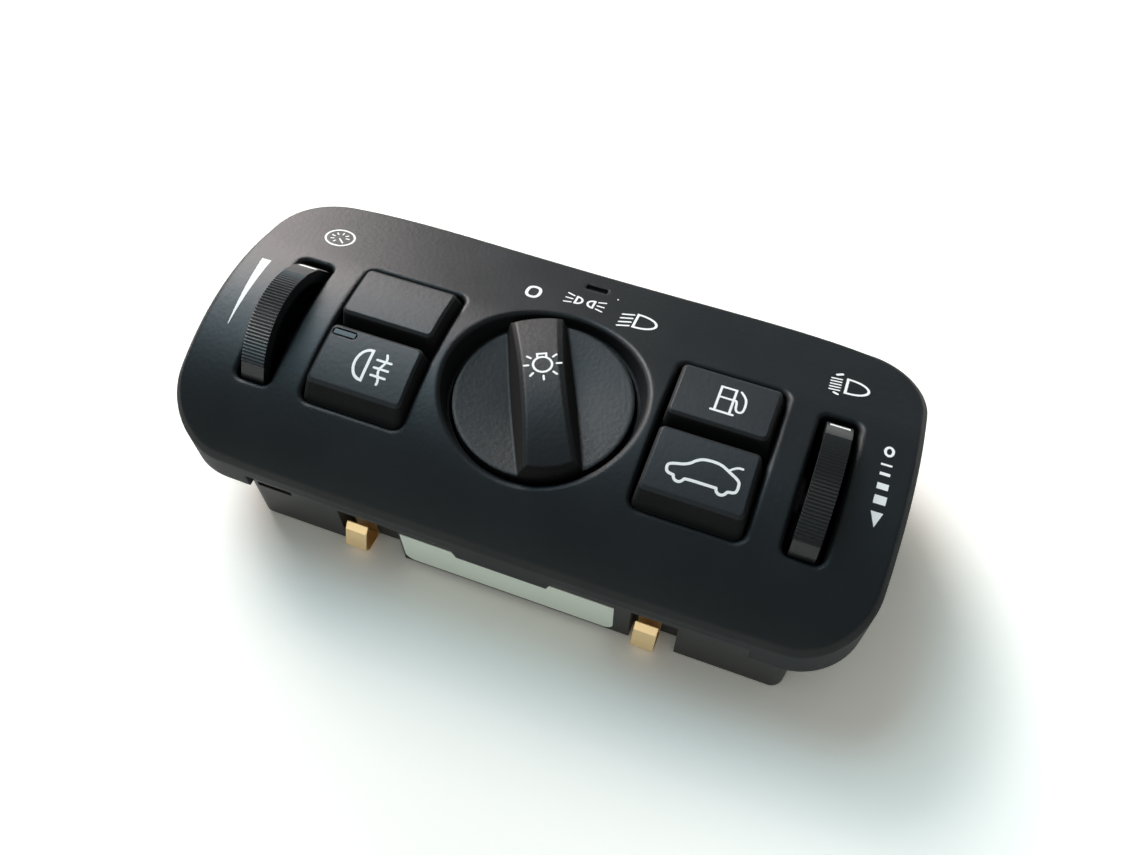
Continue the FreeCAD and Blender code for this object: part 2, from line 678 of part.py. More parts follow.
parts = {"bezel": bezel, "knob": knob, "knob_shaft": knob_shaft, "rotary_switch": rotary_switch,
         "detent_spring": detent_spring}
for name, (side, row) in CAPS.items():
    cap, x, y = make_cap(name, side, row)
    if name == "fog_button":
        centre_x = "(-%s + cap_gap + indicator_side + indicator_length / 2)" % OPEN_OUTER_X
        centre_y = "(cap_split_y - cap_split / 2 - cap_inset_mid - indicator_drop)"
        lens_rear = "(face_height - cap_ceiling)"
        slot = rounded_box("indicator_slot",
                           (centre_x + " - indicator_length / 2", centre_x + " + indicator_length / 2"),
                           (centre_y + " - indicator_height / 2", centre_y + " + indicator_height / 2"),
                           (lens_rear + " - 1", CAP_TOP + " + 1"), "indicator_corner")
        lens_x = "(indicator_length / 2 - indicator_groove)"
        lens_y = "(indicator_height / 2 - indicator_groove)"
        flange_x, flange_y = lens_x + " + indicator_flange", lens_y + " + indicator_flange"
        lens = fused("indicator_solid",
                     box("indicator_head", (centre_x + " - " + lens_x, centre_x + " + " + lens_x),
                         (centre_y + " - " + lens_y, centre_y + " + " + lens_y),
                         (lens_rear + " - 1", CAP_TOP)),
                     box("indicator_flange",
                         (centre_x + " - (%s)" % flange_x, centre_x + " + " + flange_x),
                         (centre_y + " - (%s)" % flange_y, centre_y + " + " + flange_y),
                         (lens_rear + " - 1.2", lens_rear)))
        parts["fog_indicator"] = common("fog_indicator", lens, proud_crown)
        cap = cut("fog_button_slotted", cap, slot)
    parts[name] = cap
    if name == "blank_cap":
        continue
    kind = name.split("_")[0]
    stem_low = BOARD_TOP + " + switch_height - 1"
    parts[kind + "_switch_stem"] = cylinder(kind + "_stem", "stem_radius",
                                            stem_low, stem_low + " + stem_length", x, y)
    parts[kind + "_switch"] = cut(kind + "_switch_body",
                                  square(kind + "_switch_block", "switch_side", BOARD_TOP,
                                         BOARD_TOP + " + switch_height", x, y),
                                  cylinder(kind + "_switch_bore", "stem_radius + shaft_gap",
                                           stem_low + " - press_travel - fit_gap", "face_height", x, y))


# Thumbwheels: drum with fine ribs where the finger reaches, one web, and a stub axle for the potentiometer
def ribbed_profile():
    """Section of the rib band: a sector with teeth, and a plain arc beside the mark."""
    crest, root = size("wheel_radius"), size("wheel_radius") - size("rib_depth")
    first, last = size("ribs_from"), size("ribs_to")
    smooth_from, smooth_to = size("smooth_from"), size("smooth_to")

    def at(radius, degrees):
        angle = math.radians(degrees)
        return Vector(0, radius * math.cos(angle), radius * math.sin(angle))

    edges = []
    here = at(root, first)
    for start, finish in ((first, smooth_from), (smooth_to, last)):
        count = int((finish - start) / size("rib_angle"))
        pitch = (finish - start) / count
        if start == smooth_to:
            there = at(crest, smooth_to)
            edges.append(Part.Arc(here, at(crest, (smooth_from + smooth_to) / 2), there).toShape())
            here = there
        for n in range(count):
            valley = at(root, start + (n + 0.5) * pitch) if start == smooth_to else at(
                crest, start + (n + 0.5) * pitch)
            ridge = at(crest, start + (n + 1) * pitch) if start == smooth_to else at(
                root, start + (n + 1) * pitch)
            if n == count - 1:
                ridge = at(crest, smooth_from) if finish == smooth_from else at(root, last)
            edges += Part.makePolygon([here, valley, ridge]).Edges
            here = ridge
    inner = root - size("rib_depth")
    edges += Part.makePolygon([here, at(inner, last)]).Edges
    edges.append(Part.Arc(at(inner, last), at(inner, (first + last) / 2), at(inner, first)).toShape())
    edges += Part.makePolygon([at(inner, first), at(root, first)]).Edges
    return Part.Wire(edges)


def make_wheel(side):
    name = side + "_wheel"
    low, high = side_span(side, WHEEL_X, "wheel_width")
    band = feature(name + "_ribs",
                   Part.Face(ribbed_profile()).extrude(Vector(size("wheel_width"), 0, 0)))
    place(band, low, "wheel_y", WHEEL_Z)
    drum = cross_cylinder(name + "_drum", "wheel_radius - rib_depth", low, high, "wheel_y", WHEEL_Z)
    inner, outer = (high, low) if side == "left" else (low, high)
    well_x = (low + " - 1", high + " - web_thick") if side == "right" else (low + " + web_thick", high + " + 1")
    well = cross_cylinder(name + "_well", "wheel_radius - rim_thick", well_x[0], well_x[1],
                          "wheel_y", WHEEL_Z)
    body = cut(name + "_body", fused(name + "_rim", drum, band), well)
    reach = "fit_gap + pot_width - 1"
    web = outer + (" + web_thick / 2" if side == "left" else " - web_thick / 2")
    span = (web, "%s + %s" % (inner, reach)) if side == "left" else ("%s - (%s)" % (inner, reach), web)
    axle = cross_cylinder(name + "_axle", "axle_radius", span[0], span[1], "wheel_y", WHEEL_Z)
    return fused(name, body, axle)


def make_pot(side):
    name = side + "_potentiometer"
    low, high = side_span(side, WHEEL_X, "wheel_width")
    if side == "left":
        span = (high + " + fit_gap", high + " + fit_gap + pot_width")
        bore = (span[0] + " - 1", span[1] + " - 0.8")
    else:
        span = (low + " - fit_gap - pot_width", low + " - fit_gap")
        bore = (span[0] + " + 0.8", span[1] + " + 1")
    drum = cross_cylinder(name + "_drum", "pot_radius", span[0], span[1], "wheel_y", WHEEL_Z)
    foot = box(name + "_foot", span, ("wheel_y - pot_radius", "wheel_y + pot_radius"),
               (BOARD_TOP, WHEEL_Z))
    hole = cross_cylinder(name + "_bore", "axle_radius + shaft_gap", bore[0], bore[1],
                          "wheel_y", WHEEL_Z)
    return cut(name, fused(name + "_solid", drum, foot), hole)


for side in SIDES:
    parts[side + "_wheel"] = make_wheel(side)
    parts[side + "_potentiometer"] = make_pot(side)

# Rear housing: box with a pod for the left wheel, clip pockets, posts, plug opening and wall slot
POD_LAP_X = HOUSING_LEFT + " + pod_lap"
POD_LOW = "(wheel_y - wheel_radius - pod_gap - housing_wall)"
POD_HIGH = "(wheel_y + wheel_radius + pod_gap + housing_wall)"
outer_box = rounded_box("housing_box", (HOUSING_LEFT, HOUSING_RIGHT), (HOUSING_LOW, HOUSING_HIGH),
                        ("0", HOUSING_FRONT), "housing_corner")
outer_pod = rounded_box("housing_pod", ("pod_inset - panel_width / 2", POD_LAP_X), (POD_LOW, POD_HIGH),
                        ("0", HOUSING_FRONT), "housing_corner")
cavity = fused("housing_cavity",
               box("cavity_box", (HOUSING_LEFT + " + housing_wall", HOUSING_RIGHT + " - housing_wall"),
                   (HOUSING_LOW + " + housing_wall", HOUSING_HIGH + " - housing_wall"),
                   ("housing_floor", HOUSING_FRONT + " + 1")),
               box("cavity_pod", ("pod_inset - panel_width / 2 + housing_wall", POD_LAP_X),
                   (POD_LOW + " + housing_wall", POD_HIGH + " - housing_wall"),
                   ("housing_floor", HOUSING_FRONT + " + 1")))


def rear_edge(edge):
    return edge.BoundBox.ZMax < 1e-6


housing_outside = rounded("housing_outside", fused("housing_form", outer_box, outer_pod),
                          size("rear_chamfer"), rear_edge, "Chamfer")
housing_shell = cut("housing_shell", housing_outside, cavity)
inner_parts, holes = [housing_shell], []
CLIP_X = {"left": "-clip_left", "right": "clip_right"}
pocket_blocks = []
for side, clip_x in CLIP_X.items():
    start, pocket_width = clip_x + " - pocket_lead", "pocket_%s_width" % side
    for edge_name, wall_y, sign in (("bottom", HOUSING_LOW, 1), ("top", HOUSING_HIGH, -1)):
        name = "%s_%s_pocket" % (edge_name, side)
        deep = "%s + %d * pocket_depth" % (wall_y, sign)
        deeper = "%s + %d * (pocket_depth + housing_wall)" % (wall_y, sign)
        outside = "%s - %d * 2" % (wall_y, sign)
        near = "%s + %d * 0.8" % (wall_y, sign)
        hole_y = (outside, deep) if sign > 0 else (deep, outside)
        block_y = (near, deeper) if sign > 0 else (deeper, near)
        holes.append(box(name, (start, start + " + " + pocket_width), hole_y, ("-1", "pocket_front")))
        span = (start + " - housing_wall", start + " + %s + housing_wall" % pocket_width)
        inner_parts.append(box(name + "_wall", span, block_y, ("1", "pocket_front + housing_wall")))
        gap_y = (near, deeper + " + fit_gap") if sign > 0 else (deeper + " - fit_gap", near)
        pocket_blocks.append(box(name + "_room", (span[0] + " - fit_gap", span[1] + " + fit_gap"),
                                 gap_y, ("1", HOUSING_FRONT)))
for n, (x, y) in enumerate(SCREWS):
    inner_parts.append(square("post_%d" % n, "seat_side", "1", "board_rear", x, y))
    holes.append(cylinder("post_hole_%d" % n, "screw_radius + 0.3", "-1", "board_rear + 1", x, y))
    holes.append(cylinder("head_seat_%d" % n, "head_radius + 0.3", "-1", "head_height + screw_sink", x, y))
holes.append(box("plug_opening",
                 ("plug_x - plug_width / 2 - fit_gap", "plug_x + plug_width / 2 + fit_gap"),
                 (PLUG_Y + " - plug_height / 2 - fit_gap", PLUG_Y + " + plug_height / 2 + fit_gap"),
                 ("-1", "housing_floor + 1")))
slot_x = HOUSING_LEFT + " + wall_slot_inset"
holes.append(box("wall_slot", (slot_x, slot_x + " + wall_slot_length"),
                 (HOUSING_LOW + " - 1", HOUSING_LOW + " + housing_wall + 1"),
                 ("wall_slot_low", "wall_slot_low + wall_slot_height")))
parts["rear_housing"] = cut("rear_housing", fused("housing_solid", *inner_parts), *holes)

# Circuit board, with notches round the pocket walls and holes for the screws
BOARD_X = "(%s - wheel_width / 2 - board_gap)" % WHEEL_X
board_holes = [cylinder("board_hole_%d" % n, "screw_radius + 0.3", "0", "face_height", x, y)
               for n, (x, y) in enumerate(SCREWS)]
parts["circuit_board"] = cut("circuit_board",
                             box("board_blank", ("-" + BOARD_X, BOARD_X),
                                 (HOUSING_LOW + " + housing_wall + fit_gap",
                                  HOUSING_HIGH + " - housing_wall - fit_gap"),
                                 ("board_rear", BOARD_TOP)),
                             *board_holes, *pocket_blocks)


# Spring clips: bent brass leaves, one profile turned for the upper side
def strip(points, thick):
    """Closed outline of a bent sheet along points, thick on both sides of the line."""
    left, right = [], []
    for n, point in enumerate(points):
        before = points[max(n - 1, 0)]
        after = points[min(n + 1, len(points) - 1)]
        along_in = (point - before) if n else (after - point)
        along_out = (after - point) if n < len(points) - 1 else (point - before)
        along_in.normalize()
        along_out.normalize()
        normal_in = Vector(0, -along_in.z, along_in.y)
        normal_out = Vector(0, -along_out.z, along_out.y)
        mitre = normal_in + normal_out
        mitre.normalize()
        reach = thick / 2 / mitre.dot(normal_in)
        left.append(point + mitre * reach)
        right.append(point - mitre * reach)
    outline = left + right[::-1]
    return Part.Face(Part.makePolygon(outline + outline[:1]))


def make_clip(name, side, bottom):
    depth, root, bend = size("pocket_depth"), size("clip_root"), size("clip_bend")
    seat = size("clip_sheet") / 2 + size("shaft_gap") - depth
    reach, apex = size("clip_reach"), size("clip_apex")
    top, tip = apex + size("clip_slope"), size("clip_tip")
    route = [(seat, root), (seat, bend), (seat + bend / 2, bend / 2), (reach - bend, bend / 2 + bend),
             (reach, apex), (reach - bend, (apex + top) / 2), (reach - 2 * bend, top),
             (reach - 2 * bend - tip, top + tip)]
    out = -1 if bottom else 1
    points = [Vector(0, out * away, z) for away, z in route]
    clip = feature(name, strip(points, size("clip_sheet")).extrude(Vector(size("clip_width"), 0, 0)))
    return place(clip, x=CLIP_X[side] + " - clip_width / 2", y=HOUSING_LOW if bottom else HOUSING_HIGH)


for side in SIDES:
    for level in ("bottom", "top"):
        name = "%s_%s_clip" % (level, side)
        parts[name] = make_clip(name, side, level == "bottom")

# Label plate on the long lower wall
parts["label"] = rounded("label",
                         box("label_plate",
                             ("label_x - label_length / 2", "label_x + label_length / 2"),
                             (HOUSING_LOW + " - label_thick", HOUSING_LOW),
                             ("label_low", "label_low + label_height")),
                         size("label_corner"),
                         lambda edge: edge.BoundBox.YLength > size("label_thick") / 2
                         and edge.BoundBox.ZMax < size("label_low") + size("label_height") / 2)

# Plug header on the rear of the board, its pins and the screws
plug_span_x = ("plug_x - plug_width / 2", "plug_x + plug_width / 2")
plug_span_y = (PLUG_Y + " - plug_height / 2", PLUG_Y + " + plug_height / 2")
pin_spots = [(column, row) for column in range(8) for row in (-0.5, 0.5)]


def pin_box(name, column, row, side, low, high):
    return square(name, side, low, high, "plug_x + %s * pin_pitch" % (column - 3.5),
                  PLUG_Y + " + %s * pin_pitch" % row)


header_holes = [box("plug_mouth", (plug_span_x[0] + " + plug_wall", plug_span_x[1] + " - plug_wall"),
                    (plug_span_y[0] + " + plug_wall", plug_span_y[1] + " - plug_wall"),
                    ("-1", "board_rear - 1.5"))]
board_pin_holes, pins = [], []
for n, (column, row) in enumerate(pin_spots):
    header_holes.append(pin_box("header_hole_%d" % n, column, row, "pin_side + 0.04", "1", "board_rear + 1"))
    board_pin_holes.append(pin_box("board_pin_hole_%d" % n, column, row, "pin_side + 0.2", "1",
                                   "face_height"))
    pins.append(pin_box("pin_%d" % n, column, row, "pin_side", "pin_tip", BOARD_TOP + " + 1.2"))
parts["connector_header"] = cut("connector_header",
                                box("header_block", plug_span_x, plug_span_y,
                                    ("plug_rear", "board_rear")), *header_holes)
parts["circuit_board"] = cut("board_drilled", parts["circuit_board"], *board_pin_holes)
group = doc.addObject("Part::Compound", "connector_pins")
group.Links = pins
parts["connector_pins"] = group
screws = []
for n, (x, y) in enumerate(SCREWS):
    head_top = "screw_sink + head_height"
    head = doc.addObject("Part::Prism", "screw_%d_head" % n)
    head.Polygon = 6
    bind(head, Circumradius="head_radius", Height="head_height")
    place(head, x, y, "screw_sink")
    screws.append(cut("screw_%d" % n,
                      fused("screw_%d_solid" % n,
                            cylinder("screw_%d_shank" % n, "screw_radius", head_top + " - head_height / 2",
                                     SCREW_END, x, y),
                            head),
                      box("screw_%d_slot" % n, (x + " - head_radius", x + " + head_radius"),
                          (y + " - drive_width / 2", y + " + drive_width / 2"),
                          ("0", "screw_sink + head_height / 2"))))
group = doc.addObject("Part::Compound", "housing_screws")
group.Links = screws
parts["housing_screws"] = group

# Light guide behind the symbols, with two legs that stand over lamps on the board
GUIDE_LOW_Y = "(knob_y + recess_foot + collar_wall + fit_gap)"
GUIDE_HIGH_Y = "(panel_height / 2 - guide_inset)"
LEG_Y = "((%s + %s) / 2)" % (GUIDE_LOW_Y, GUIDE_HIGH_Y)
LEG_X = ("-guide_length / 3", "guide_length / 3")
guide_skin = cut("guide_skin",
                 common("guide_plate",
                        box("guide_block", ("-guide_length / 2", "guide_length / 2"),
                            (GUIDE_LOW_Y, GUIDE_HIGH_Y), ("face_height / 2", "face_height")),
                        crown_inside),
                 crown_body("crown_guide", "panel_wall + guide_thick"))
legs, lamps = [], []
for n, x in enumerate(LEG_X):
    wide = ("%s - guide_leg / 2" % x, "%s + guide_leg / 2" % x)
    legs.append(box("guide_leg_%d" % n, wide,
                    (LEG_Y + " - guide_leg / 2", LEG_Y + " + guide_leg / 2"),
                    (BOARD_TOP + " + lamp_height + 2 * fit_gap", "face_height")))
    lamps.append(box("lamp_%d" % n, wide,
                     (LEG_Y + " - guide_leg / 3", LEG_Y + " + guide_leg / 3"),
                     (BOARD_TOP, BOARD_TOP + " + lamp_height")))
leg_pair = common("guide_legs", fused("guide_leg_pair", *legs), crown_inside)
parts["light_guide"] = place(fused("light_guide", guide_skin, leg_pair), z="-fit_gap")
group = doc.addObject("Part::Compound", "lamps")
group.Links = lamps
parts["lamps"] = group

# Small window lens above the position lamp symbol
window_x = ("window_x - window_length / 2 + 0.05", "window_x + window_length / 2 - 0.05")
window_y = (WINDOW_Y + " - window_height / 2 + 0.05", WINDOW_Y + " + window_height / 2 - 0.05")
parts["status_window"] = common("status_window",
                                rounded_box("window_block", window_x, window_y,
                                            ("face_height - 14", "face_height"), "rim_round"),
                                crown_body("crown_window", "lip_round"))

# Check every object and sub-part before anything is written
doc.recompute()
for item in doc.Objects:
    if "Invalid" in item.State or "Error" in item.State:
        raise RuntimeError("%s did not build" % item.Name)
for node, thing in parts.items():
    thing.Label = node
    if thing.Shape.isNull() or not thing.Shape.isValid():
        raise RuntimeError("%s has no valid shape" % node)
os.makedirs("parts", exist_ok=True)
for node, thing in parts.items():
    thing.Shape.exportStep("parts/%s.step" % node)
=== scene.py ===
import math

import bmesh
import bpy
from mathutils import Matrix, Vector


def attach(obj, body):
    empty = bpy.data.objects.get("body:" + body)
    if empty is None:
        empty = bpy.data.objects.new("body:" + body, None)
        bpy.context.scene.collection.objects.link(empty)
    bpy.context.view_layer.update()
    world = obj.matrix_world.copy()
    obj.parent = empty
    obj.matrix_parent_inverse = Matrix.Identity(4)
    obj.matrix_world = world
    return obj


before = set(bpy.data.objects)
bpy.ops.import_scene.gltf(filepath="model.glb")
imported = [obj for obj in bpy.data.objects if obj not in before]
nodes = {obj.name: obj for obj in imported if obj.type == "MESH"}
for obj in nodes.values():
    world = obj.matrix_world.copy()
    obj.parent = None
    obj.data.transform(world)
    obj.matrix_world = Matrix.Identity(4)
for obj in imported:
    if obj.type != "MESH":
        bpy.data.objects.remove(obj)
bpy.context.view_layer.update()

# --- Rear housing ----------------------------------------------------------
# The open box that carries everything, with a pod for the left wheel. It is one
# grained black moulding, and its four screws clamp the circuit board into it.
grain = bpy.data.node_groups.new("moulded grain", "ShaderNodeTree")
for name, kind in (("Colour", "NodeSocketColor"), ("Light", "NodeSocketColor"),
                   ("Roughness", "NodeSocketFloat"), ("Per metre", "NodeSocketFloat"),
                   ("Depth", "NodeSocketFloat"), ("Edge", "NodeSocketFloat"),
                   ("Flank shade", "NodeSocketFloat")):
    grain.interface.new_socket(name, in_out="INPUT", socket_type=kind)
for name, kind in (("Colour", "NodeSocketColor"), ("Roughness", "NodeSocketFloat"),
                   ("Normal", "NodeSocketVector")):
    grain.interface.new_socket(name, in_out="OUTPUT", socket_type=kind)


def node(tree, kind, links=(), **settings):
    """A node with its settings, each linked input given as (input, output)."""
    made = tree.nodes.new("ShaderNode" + kind)
    for key, value in settings.items():
        if key.startswith("in_"):
            made.inputs[key[3:].replace("_", " ")].default_value = value
        else:
            setattr(made, key, value)
    for socket, source in links:
        tree.links.new(source, made.inputs[socket])
    return made


def maths(tree, operation, first, second):
    """One Math node; either input is a socket or a number."""
    made = tree.nodes.new("ShaderNodeMath")
    made.operation = operation
    for place, value in enumerate((first, second)):
        if isinstance(value, float):
            made.inputs[place].default_value = value
        else:
            tree.links.new(value, made.inputs[place])
    return made.outputs[0]


def smooth_step(tree, value, low, high, start=0.0, stop=1.0):
    """Goes softly from start at the value low to stop at the value high."""
    made = node(tree, "MapRange", [("Value", value)], interpolation_type="SMOOTHSTEP",
                in_From_Min=low, in_From_Max=high, in_To_Min=start, in_To_Max=stop)
    return made.outputs["Result"]


def fill_grain(tree):
    """Fine grain with rounded, rubbed edges, and painted shade that darkens and roughens steep
    flanks.
    """
    rub_gain, rub_polish, cloud_dulling, flank_dulling = 2.5, 0.08, 0.12, 0.5
    grain_height = 0.00004
    flank_from, flank_to = 0.93, 0.60
    source = tree.nodes.new("NodeGroupInput").outputs
    place = node(tree, "TexCoord").outputs["Object"]
    fine = node(tree, "TexNoise", [("Vector", place), ("Scale", source["Per metre"])],
                in_Detail=3.0, in_Roughness=0.6)
    cloud = node(tree, "TexNoise", [("Vector", place)], in_Scale=55.0, in_Detail=4.0)
    specks = node(tree, "TexVoronoi", [("Vector", place)], in_Scale=900.0)
    round_edge = node(tree, "Bevel", [("Radius", source["Edge"])], samples=4)
    flat = node(tree, "NewGeometry").outputs["Normal"]
    facing = node(tree, "VectorMath", [(0, round_edge.outputs[0]), (1, flat)],
                  operation="DOT_PRODUCT").outputs["Value"]
    rubbed = maths(tree, "MULTIPLY", maths(tree, "SUBTRACT", 1.0, facing), rub_gain)
    rubbed = maths(tree, "MINIMUM", rubbed, 1.0)
    mixed = node(tree, "Mix", [(6, source["Colour"]), (7, source["Light"]),
                               (0, cloud.outputs["Fac"])], data_type="RGBA")
    edged = node(tree, "Mix", [(6, mixed.outputs[2]), (7, source["Light"]), (0, rubbed)],
                 data_type="RGBA")
    # Painted shade: faces that turn sideways get a darker colour, set by the flank amount, and more
    # roughness.
    upward = node(tree, "SeparateXYZ", [(0, round_edge.outputs[0])]).outputs["Z"]
    steep = smooth_step(tree, upward, flank_to, flank_from, 1.0, 0.0)
    flank_shade = maths(tree, "MULTIPLY", steep, source["Flank shade"])
    flank_shaded_colour = node(tree, "VectorMath", [(0, edged.outputs[2]),
                                     (3, maths(tree, "SUBTRACT", 1.0, flank_shade))],
                operation="SCALE").outputs[0]
    rough = maths(tree, "ADD", source["Roughness"],
                  maths(tree, "MULTIPLY", cloud.outputs["Fac"], cloud_dulling))
    rough = maths(tree, "SUBTRACT", rough, maths(tree, "MULTIPLY", rubbed, rub_polish))
    rough = maths(tree, "ADD", rough, maths(tree, "MULTIPLY", flank_shade, flank_dulling))
    spread = maths(tree, "ADD", fine.outputs["Fac"], specks.outputs["Distance"])
    bump = node(tree, "Bump", [("Height", spread), ("Strength", source["Depth"]),
                               ("Normal", round_edge.outputs[0])],
                in_Distance=grain_height)
    out = tree.nodes.new("NodeGroupOutput")
    tree.links.new(flank_shaded_colour, out.inputs["Colour"])
    tree.links.new(rough, out.inputs["Roughness"])
    tree.links.new(bump.outputs[0], out.inputs["Normal"])


fill_grain(grain)


def plastic(name, colour, light, roughness, per_metre=5200.0, depth=0.3, edge=0.0004,
            flank_shade=0.0, specular=0.5, metal=0.0, transmission=0.0):
    """A moulded, drawn or printed surface: the grain group into a Principled shader; flank paints
    shade on steep faces.
    """
    made = bpy.data.materials.new(name)
    made.use_nodes = True
    tree = made.node_tree
    shader = tree.nodes["Principled BSDF"]
    effect = tree.nodes.new("ShaderNodeGroup")
    effect.node_tree = grain
    for socket, value in (("Colour", (*colour, 1)), ("Light", (*light, 1)),
                          ("Roughness", roughness), ("Per metre", per_metre), ("Depth", depth),
                          ("Edge", edge), ("Flank shade", flank_shade)):
        effect.inputs[socket].default_value = value
    tree.links.new(effect.outputs["Colour"], shader.inputs["Base Color"])
    tree.links.new(effect.outputs["Roughness"], shader.inputs["Roughness"])
    tree.links.new(effect.outputs["Normal"], shader.inputs["Normal"])
    shader.inputs["Specular IOR Level"].default_value = specular
    shader.inputs["Metallic"].default_value = metal
    shader.inputs["Transmission Weight"].default_value = transmission
    return made


def dress(names, material):
    """Gives one material to each of these nodes."""
    for name in names:
        mesh = nodes[name].data
        mesh.materials.clear()
        mesh.materials.append(material)


housing_black = plastic("housing black", colour=(0.013, 0.0135, 0.014),
                        light=(0.019, 0.0195, 0.020), roughness=0.46, per_metre=3600.0, depth=0.5)
dress(["rear_housing"], housing_black)

# --- Spring clips ----------------------------------------------------------
# Four leaf springs, bent from brass strip and pushed into pockets in the housing's
# long walls. They hold the switch in the dashboard.
spring_brass = plastic("spring brass", colour=(0.80, 0.56, 0.28), light=(0.92, 0.70, 0.42),
                       roughness=0.32, per_metre=1800.0, depth=0.12, edge=0.0002, metal=1.0)
dress(["bottom_left_clip", "bottom_right_clip", "top_left_clip", "top_right_clip"], spring_brass)

# --- Label -----------------------------------------------------------------
# A plain film label with round corners, pale green-white, stuck on the low wall
# between the clips.
label_film = plastic("label film", colour=(0.74, 0.81, 0.72), light=(0.80, 0.86, 0.77),
                     roughness=0.42, per_metre=900.0, depth=0.1, edge=0.0)
dress(["label"], label_film)

# --- Circuit board ---------------------------------------------------------
# One glass fibre board under green solder resist, lying on the housing's posts. All
# the switches and the plug are soldered to it.
solder_resist = plastic("solder resist", colour=(0.012, 0.10, 0.035), light=(0.02, 0.14, 0.05),
                        roughness=0.3, per_metre=1500.0, depth=0.15)
dress(["circuit_board"], solder_resist)

# --- Switches and potentiometers -------------------------------------------
# Black moulded switch bodies: a rotary one under the knob, a small one under each
# button that works, and a potentiometer beside each wheel.
switch_black = plastic("switch black", colour=(0.02, 0.02, 0.021), light=(0.028, 0.028, 0.03),
                       roughness=0.45, per_metre=3000.0, depth=0.4)
dress(["rotary_switch", "left_potentiometer", "right_potentiometer", "fog_switch", "fuel_switch",
       "boot_switch"], switch_black)

# --- Shaft and stems -------------------------------------------------------
# The knob's shaft and the three switches' stems, moulded in undyed nylon, which
# slides well. The knob and the caps push on to them.
natural_nylon = plastic("natural nylon", colour=(0.62, 0.60, 0.54), light=(0.72, 0.70, 0.64),
                        roughness=0.38, per_metre=2500.0, depth=0.2)
dress(["knob_shaft", "fog_switch_stem", "fuel_switch_stem", "boot_switch_stem"], natural_nylon)

# --- Plug header -----------------------------------------------------------
# A black moulded block behind the socket in the housing's floor. It is soldered to
# the board by its pins.
header_black = plastic("header black", colour=(0.014, 0.014, 0.015), light=(0.02, 0.02, 0.021),
                       roughness=0.4, per_metre=3000.0, depth=0.3)
dress(["connector_header"], header_black)

# --- Pins, detent spring and screws ----------------------------------------
# Bright metal parts: the tinned pins of the plug, the leaf that gives the knob its
# steps, and the four screws that are driven in from behind.
bright_steel = plastic("bright steel", colour=(0.50, 0.50, 0.50), light=(0.60, 0.60, 0.61),
                       roughness=0.25, per_metre=2200.0, depth=0.15, metal=1.0)
dress(["detent_spring", "connector_pins", "housing_screws"], bright_steel)

# --- Light guide and lamps -------------------------------------------------
# Small lamps stand on the board and shine into a clear moulded guide, which takes
# their light to the small windows in the face.
clear_guide = plastic("clear guide", colour=(0.70, 0.74, 0.76), light=(0.80, 0.83, 0.85),
                      roughness=0.12, per_metre=2000.0, depth=0.05, transmission=0.7)
dress(["light_guide"], clear_guide)
lamp_body = plastic("lamp body", colour=(0.78, 0.74, 0.50), light=(0.85, 0.82, 0.62),
                    roughness=0.3, per_metre=2500.0, depth=0.1)
dress(["lamps"], lamp_body)

# --- Thumbwheels -----------------------------------------------------------
# Two finely ribbed wheels, moulded in black plastic, that stand through the bezel's
# slots and turn on the potentiometers. Each has one index line in white print.
WHEEL_X, WHEEL_Y, WHEEL_Z, WHEEL_RADIUS = 63.45, -4.2, 28.7, 18.3
INDEX_ANGLE, INDEX_STEP, INDEX_REACH = 45.0, 1.2, 2.2
PRINT = 0.03  # how far a print stands proud of its surface
wheel_black = plastic("wheel black", colour=(0.0080, 0.0092, 0.0105),
                      light=(0.0120, 0.0136, 0.0152), roughness=0.30, per_metre=6000.0,
                      depth=0.2, edge=0.00015)
white_print = plastic("white print", colour=(0.95, 0.96, 0.96), light=(0.97, 0.98, 0.98),
                      roughness=0.42, per_metre=3000.0, depth=0.1, edge=0.0)


def place_piece(name, mesh, material, body):
    """Makes an object of the finished bmesh, which then moves with this body."""
    made = bpy.data.meshes.new(name)
    mesh.to_mesh(made)
    mesh.free()
    made.materials.append(material)
    piece = bpy.data.objects.new(name, made)
    bpy.context.scene.collection.objects.link(piece)
    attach(piece, body)


dress(["left_wheel", "right_wheel"], wheel_black)
for side, wheel in ((-1, "left_wheel"), (1, "right_wheel")):
    index = bmesh.new()
    rows = []
    for n in range(5):
        angle = math.radians(INDEX_ANGLE + (n - 2) * INDEX_STEP)
        y = WHEEL_Y + (WHEEL_RADIUS + PRINT) * math.cos(angle)
        z = WHEEL_Z + (WHEEL_RADIUS + PRINT) * math.sin(angle)
        rows.append([index.verts.new(Vector((side * WHEEL_X + x, y, z)) / 1000)
                     for x in (-INDEX_REACH, 0.0, INDEX_REACH)])
    for low, high in zip(rows, rows[1:]):
        for k in range(2):
            index.faces.new((low[k], low[k + 1], high[k + 1], high[k]))
    bmesh.ops.recalc_face_normals(index, faces=index.faces)
    place_piece(wheel + "_index", index, white_print, wheel)

# --- Light seals -----------------------------------------------------------
# Strips of black foam, cut and stuck on the housing's rim, round the left wheel's pod
# and along the right wall. They close the gap to the back of the bezel beside the wheels.
RIM, PANEL_WALL, STRIP = 23.9, 2.4, 0.9
POD_INNER_X, POD_OUTER_X, POD_LOW, POD_HIGH = -62.4, -69.9, -25.8, 17.4
WALL_X, WALL_LOW, WALL_HIGH = 68.35, -27.0, 20.0
FACE_APEX, FACE_RADIUS, ARC_END = 40.0, 63.0, 17.3


def face_height(y):
    """Height of the bezel's crowned face at y, in mm: an arc, then straight up the panel."""
    if y <= ARC_END:
        return FACE_APEX - FACE_RADIUS + math.sqrt(FACE_RADIUS ** 2 - y ** 2)
    level = math.sqrt(FACE_RADIUS ** 2 - ARC_END ** 2)
    return FACE_APEX - FACE_RADIUS + level - ARC_END / level * (y - ARC_END)


